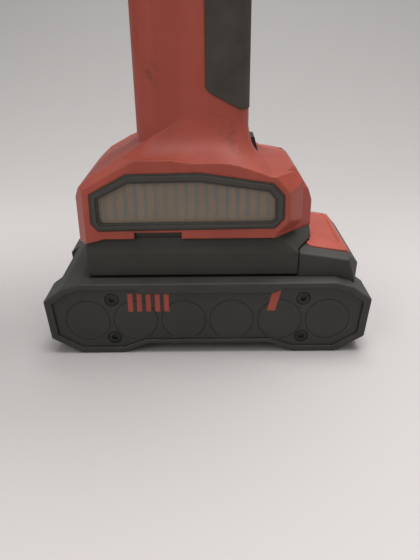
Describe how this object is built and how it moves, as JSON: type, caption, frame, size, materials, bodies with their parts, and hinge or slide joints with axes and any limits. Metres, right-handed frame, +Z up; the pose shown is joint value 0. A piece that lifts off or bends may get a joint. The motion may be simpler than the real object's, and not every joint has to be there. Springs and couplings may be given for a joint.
{
  "type": "brad nailer",
  "caption": "Cordless brad nailer with pistol grip, flywheel drive, hanging magazine, side air filters in the foot and a slide-on battery pack.",
  "frame": {"origin": "on the floor under the middle of the battery pack, tool standing upright on the pack", "axes": "+Z up along the handle, -X the way the brads are driven, +X the way the battery pack pulls off, -Y the tool's left side"},
  "size_m": [0.2316, 0.0859, 0.291],
  "materials": {
    "red_shell": "matte",
    "black_plastic": "matte",
    "grip_rubber": "matte",
    "pack_case": "matte",
    "pack_cover": "matte",
    "bezel": "matte",
    "steel": "satin",
    "dark_steel": "satin",
    "cast_alloy": "satin",
    "black_alloy": "satin",
    "brass": "satin",
    "bumper_rubber": "matte",
    "cell_wrap": "gloss",
    "board_green": "matte",
    "potting": "matte",
    "copper_stator": "satin",
    "magnet": "satin",
    "lead_insulation": "matte"
  },
  "bodies": {
    "tool": {"housing_left": "red_shell", "housing_right": "red_shell", "grip_pad": "grip_rubber", "port_plug": "black_plastic", "battery_receiver": "black_plastic", "terminal_block": "black_plastic", "controller": "potting", "intake_grilles": "black_plastic", "motor_covers": "black_plastic", "front_shroud": "black_plastic", "rear_cap": "black_plastic", "housing_screws": "dark_steel", "power_leads": "lead_insulation", "trigger_switch": "black_plastic", "side_plate_left": "steel", "side_plate_right": "steel", "rear_bridge": "cast_alloy", "tie_screws": "dark_steel", "guide_rods": "steel", "return_springs": "steel", "bumpers": "bumper_rubber", "stator": "copper_stator", "bearings": "steel", "pivot_pins": "steel", "solenoid": "dark_steel", "nose_base": "black_alloy", "nose": "steel", "magazine_body": "black_alloy", "trip_spring": "steel"},
    "battery": {"battery_case": "pack_case", "battery_side_cover_left": "pack_cover", "battery_side_cover_right": "pack_cover", "battery_top": "pack_case", "battery_contacts": "brass", "battery_board": "board_green", "battery_cells": "cell_wrap", "cell_holders": "black_plastic", "pack_screws": "dark_steel", "latch_springs": "steel"},
    "battery_latch": {"battery_latch": "red_shell"},
    "filter_left": {"filter_left": "bezel"},
    "filter_right": {"filter_right": "bezel"},
    "trigger": {"trigger": "black_plastic"},
    "trigger_lock": {"trigger_lock": "black_plastic"},
    "belt_hook": {"belt_hook": "dark_steel"},
    "driver": {"carrier": "steel", "driver_blade": "steel"},
    "flywheel": {"flywheel": "steel", "flywheel_magnets": "magnet"},
    "pinch_arm": {"pinch_arm": "steel"},
    "pinch_roller": {"pinch_roller": "steel"},
    "solenoid_plunger": {"solenoid_plunger": "steel"},
    "nose_door": {"nose_door": "steel"},
    "door_latch": {"door_latch": "steel"},
    "contact_trip": {"contact_trip": "dark_steel", "no_mar_tip": "grip_rubber"},
    "depth_wheel": {"depth_wheel": "black_plastic"},
    "magazine_cover": {"magazine_cover": "black_alloy"},
    "pusher": {"pusher": "dark_steel"},
    "magazine_latch": {"magazine_latch": "dark_steel"}
  },
  "joints": [
    {"name": "battery_slide", "type": "slide", "parent": "tool", "child": "battery", "axis": [1, 0, 0], "range_m": [0, 0.11]},
    {"name": "latch_press", "type": "slide", "parent": "battery", "child": "battery_latch", "axis": [0, 0, -1], "range_m": [0, 0.0025], "stiffness_N_per_m": 800, "springref_m": -0.003, "deforming": ["latch_springs"]},
    {"name": "filter_left_pull", "type": "slide", "parent": "tool", "child": "filter_left", "axis": [0, -1, 0], "range_m": [0, 0.015]},
    {"name": "filter_right_pull", "type": "slide", "parent": "tool", "child": "filter_right", "axis": [0, 1, 0], "range_m": [0, 0.015]},
    {"name": "trigger_pull", "type": "hinge", "parent": "tool", "child": "trigger", "pos_m": [-0.031, 0, 0.19], "axis": [0, -1, 0], "range_deg": [0, 10], "stiffness_Nm_per_rad": 0.8, "springref_deg": -8.59},
    {"name": "trigger_lock_slide", "type": "slide", "parent": "tool", "child": "trigger_lock", "axis": [0, 1, 0], "range_m": [0, 0.004]},
    {"name": "belt_hook_turn", "type": "hinge", "parent": "tool", "child": "belt_hook", "pos_m": [0.02, 0.032, 0.25], "axis": [0, 1, 0], "range_deg": [-90, 0]},
    {"name": "driver_stroke", "type": "slide", "parent": "tool", "child": "driver", "axis": [-1, 0, 0], "range_m": [0, 0.045], "stiffness_N_per_m": 150, "springref_m": -0.03, "deforming": ["return_springs"]},
    {"name": "flywheel_spin", "type": "hinge", "parent": "tool", "child": "flywheel", "pos_m": [-0.045, 0, 0.2167], "axis": [0, 1, 0], "continuous": true},
    {"name": "pinch_press", "type": "hinge", "parent": "tool", "child": "pinch_arm", "pos_m": [-0.01, 0, 0.266], "axis": [0, -1, 0], "range_deg": [0, 1.6]},
    {"name": "pinch_roller_spin", "type": "hinge", "parent": "pinch_arm", "child": "pinch_roller", "pos_m": [-0.045, 0, 0.2582], "axis": [0, 1, 0], "continuous": true},
    {"name": "plunger_slide", "type": "slide", "parent": "tool", "child": "solenoid_plunger", "axis": [-1, 0, 0], "range_m": [0, 0.004], "stiffness_N_per_m": 900, "springref_m": -0.003},
    {"name": "nose_door_open", "type": "hinge", "parent": "tool", "child": "nose_door", "pos_m": [-0.14, 0, 0.254], "axis": [0, -1, 0], "range_deg": [0, 80]},
    {"name": "door_latch_open", "type": "hinge", "parent": "tool", "child": "door_latch", "pos_m": [-0.1015, 0, 0.2575], "axis": [0, 1, 0], "range_deg": [0, 50]},
    {"name": "contact_trip_press", "type": "slide", "parent": "tool", "child": "contact_trip", "axis": [1, 0, 0], "range_m": [0, 0.0075], "stiffness_N_per_m": 300, "springref_m": -0.006, "deforming": ["trip_spring"]},
    {"name": "depth_wheel_turn", "type": "hinge", "parent": "contact_trip", "child": "depth_wheel", "pos_m": [-0.129, 0.017, 0.2446], "axis": [1, 0, 0], "continuous": true},
    {"name": "magazine_pull", "type": "slide", "parent": "tool", "child": "magazine_cover", "axis": [0, 0, -1], "range_m": [0, 0.085]},
    {"name": "pusher_slide", "type": "slide", "parent": "magazine_cover", "child": "pusher", "axis": [0, 0, -1], "range_m": [0, 0.088], "stiffness_N_per_m": 25, "springref_m": -0.1},
    {"name": "magazine_latch_press", "type": "hinge", "parent": "magazine_cover", "child": "magazine_latch", "pos_m": [-0.1016, 0, 0.117], "axis": [0, 1, 0], "range_deg": [0, 8], "stiffness_Nm_per_rad": 0.3, "springref_deg": -8.59}
  ],
  "couplings": [
    {"joint": "pinch_press", "follows": "plunger_slide", "rad_per_m": 6.98}
  ]
}
